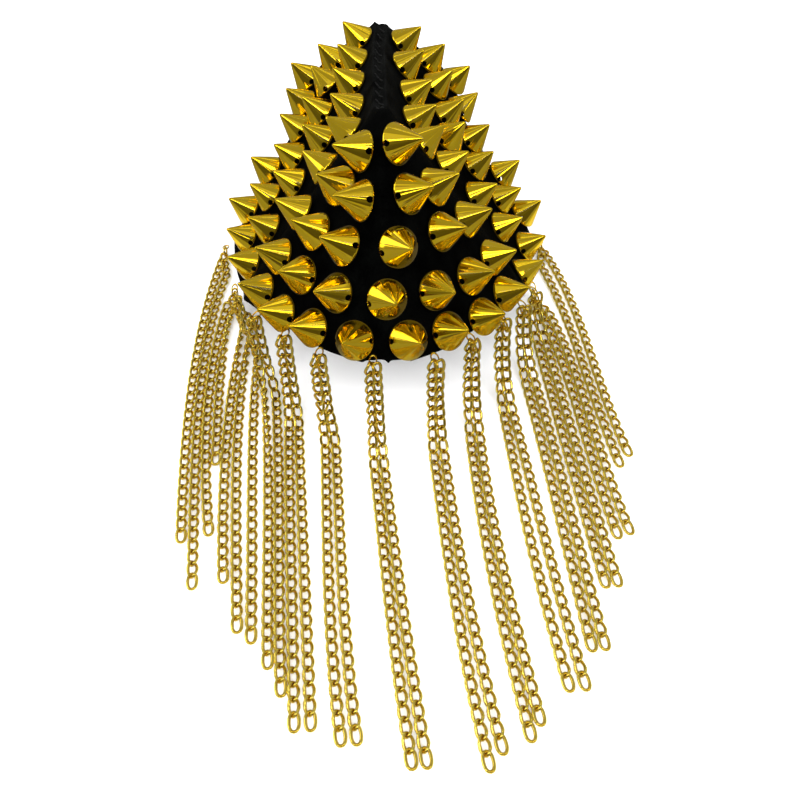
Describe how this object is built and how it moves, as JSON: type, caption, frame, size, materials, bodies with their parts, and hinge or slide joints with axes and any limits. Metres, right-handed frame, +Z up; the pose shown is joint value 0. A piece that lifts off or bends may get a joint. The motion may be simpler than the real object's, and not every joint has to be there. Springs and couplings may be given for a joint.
{
  "type": "studded shoulder epaulette with chain fringe",
  "caption": "Padded black shoulder piece set with hollow gold cone studs, with a fringe of fine gold chains from its outer rim.",
  "frame": {"origin": "middle of the whole part's footprint, on the surface it lies on", "axes": "+Z up, +Y along the pad's ridge towards the neck end, -Y towards the fringe's free ends, +X across to the right"},
  "size_m": [0.1465, 0.2586, 0.0913],
  "materials": {
    "felt": "matt black felt",
    "gold_cone": "vacuum-metallised bright gold plastic",
    "gold_wire": "bright gold plating",
    "gold_chain": "bright gold plating",
    "pin_steel": "nickel plate"
  },
  "bodies": {
    "root": {"pad": "felt", "cones_left": "gold_cone", "cones_right": "gold_cone", "rim_rings": "gold_wire", "pin_bar": "pin_steel", "chain_01": "gold_chain", "chain_02": "gold_chain", "chain_03": "gold_chain", "chain_04": "gold_chain", "chain_05": "gold_chain", "chain_06": "gold_chain", "chain_07": "gold_chain", "chain_08": "gold_chain", "chain_09": "gold_chain", "chain_10": "gold_chain", "chain_11": "gold_chain", "chain_12": "gold_chain", "chain_13": "gold_chain", "chain_14": "gold_chain", "chain_15": "gold_chain"}
  },
  "joints": []
}
